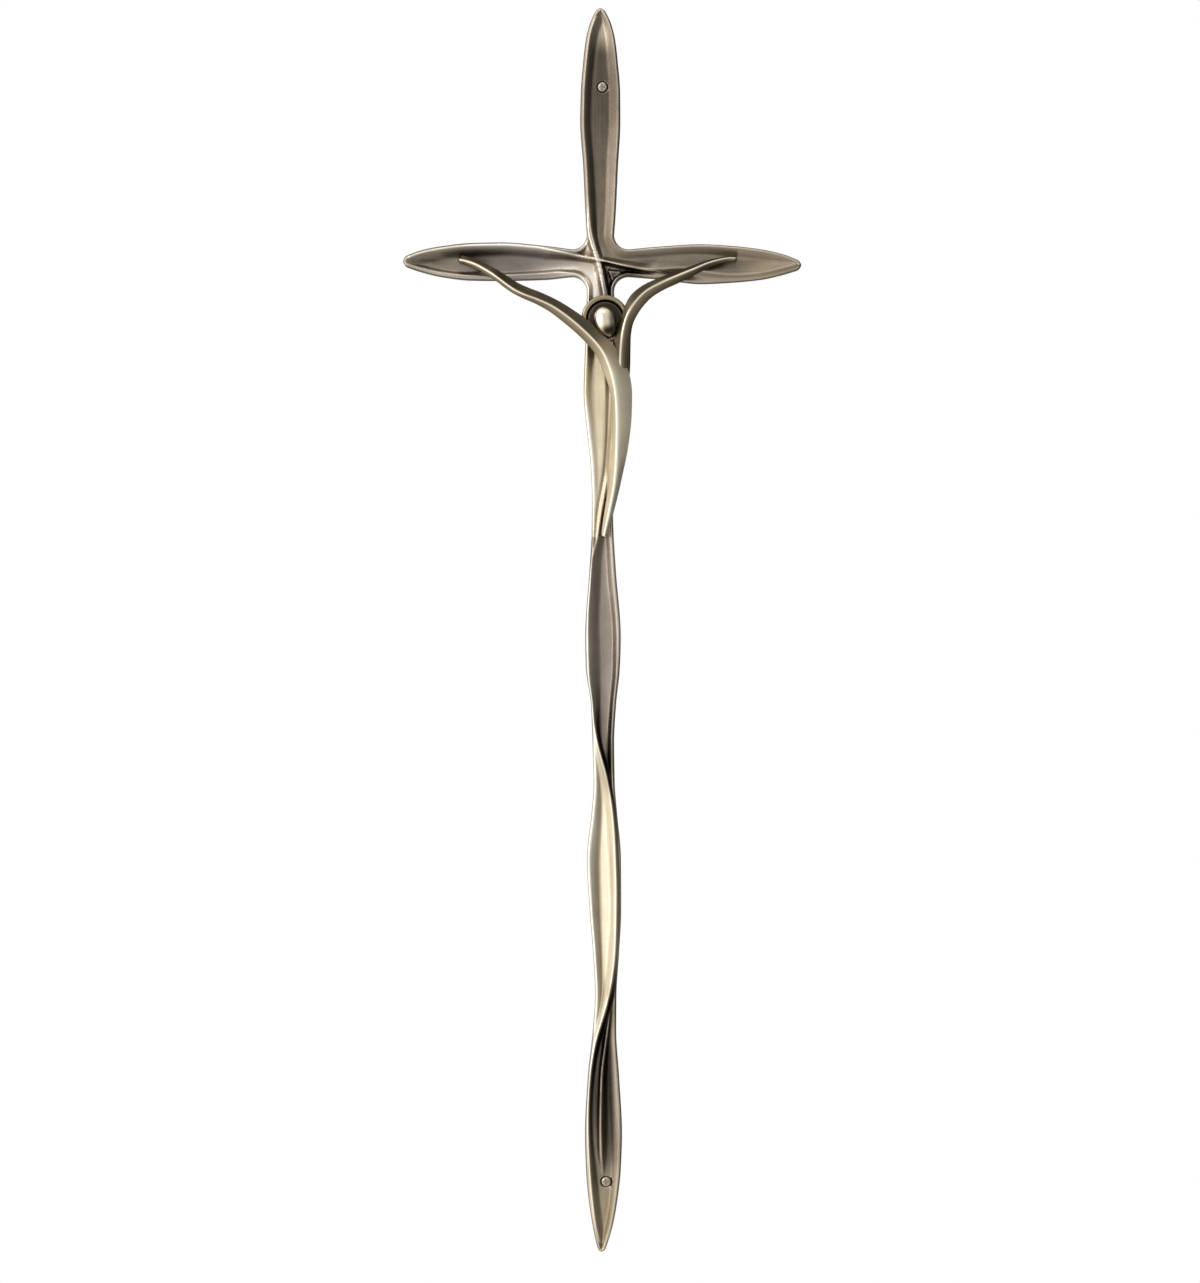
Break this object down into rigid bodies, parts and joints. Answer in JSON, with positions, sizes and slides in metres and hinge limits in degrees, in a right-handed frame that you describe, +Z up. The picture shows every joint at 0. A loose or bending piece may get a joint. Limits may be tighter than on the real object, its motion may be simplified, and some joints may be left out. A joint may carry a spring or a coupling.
{
  "type": "crucifix",
  "caption": "Slender wall crucifix in antiqued brass with leaf-shaped arms, a sinuous ridged shaft, a stylised figure standing off the front and screws from behind.",
  "frame": {"origin": "on the flat back plane, at the middle of the crossing where the arms meet the upright", "axes": "+Z up along the shaft to the top tip, +X to the right as seen from the front, +Y into the wall, so the front faces -Y"},
  "size_m": [0.1921, 0.0393, 0.6],
  "materials": {
    "antique_brass": "antiqued, dark patina in the hollows and brushed bright on the ridges",
    "polished_brass": "antiqued and relieved to a satin polish",
    "dark_brass": "heavy dark patina, rim rubbed bright",
    "plated_steel": "zinc plated",
    "fixing_brass": "antiqued to match the castings"
  },
  "bodies": {
    "root": {"upper_cross": "antique_brass", "lower_shaft": "antique_brass", "corpus": "polished_brass", "halo_cup": "dark_brass", "head": "polished_brass", "splice_plate": "plated_steel", "splice_screw_1": "plated_steel", "splice_screw_2": "plated_steel", "splice_screw_3": "plated_steel", "splice_screw_4": "plated_steel", "left_hand_screw": "plated_steel", "right_hand_screw": "plated_steel", "chest_screw": "plated_steel", "head_screw": "plated_steel", "top_fixing_screw": "fixing_brass", "bottom_fixing_screw": "fixing_brass"}
  },
  "joints": []
}
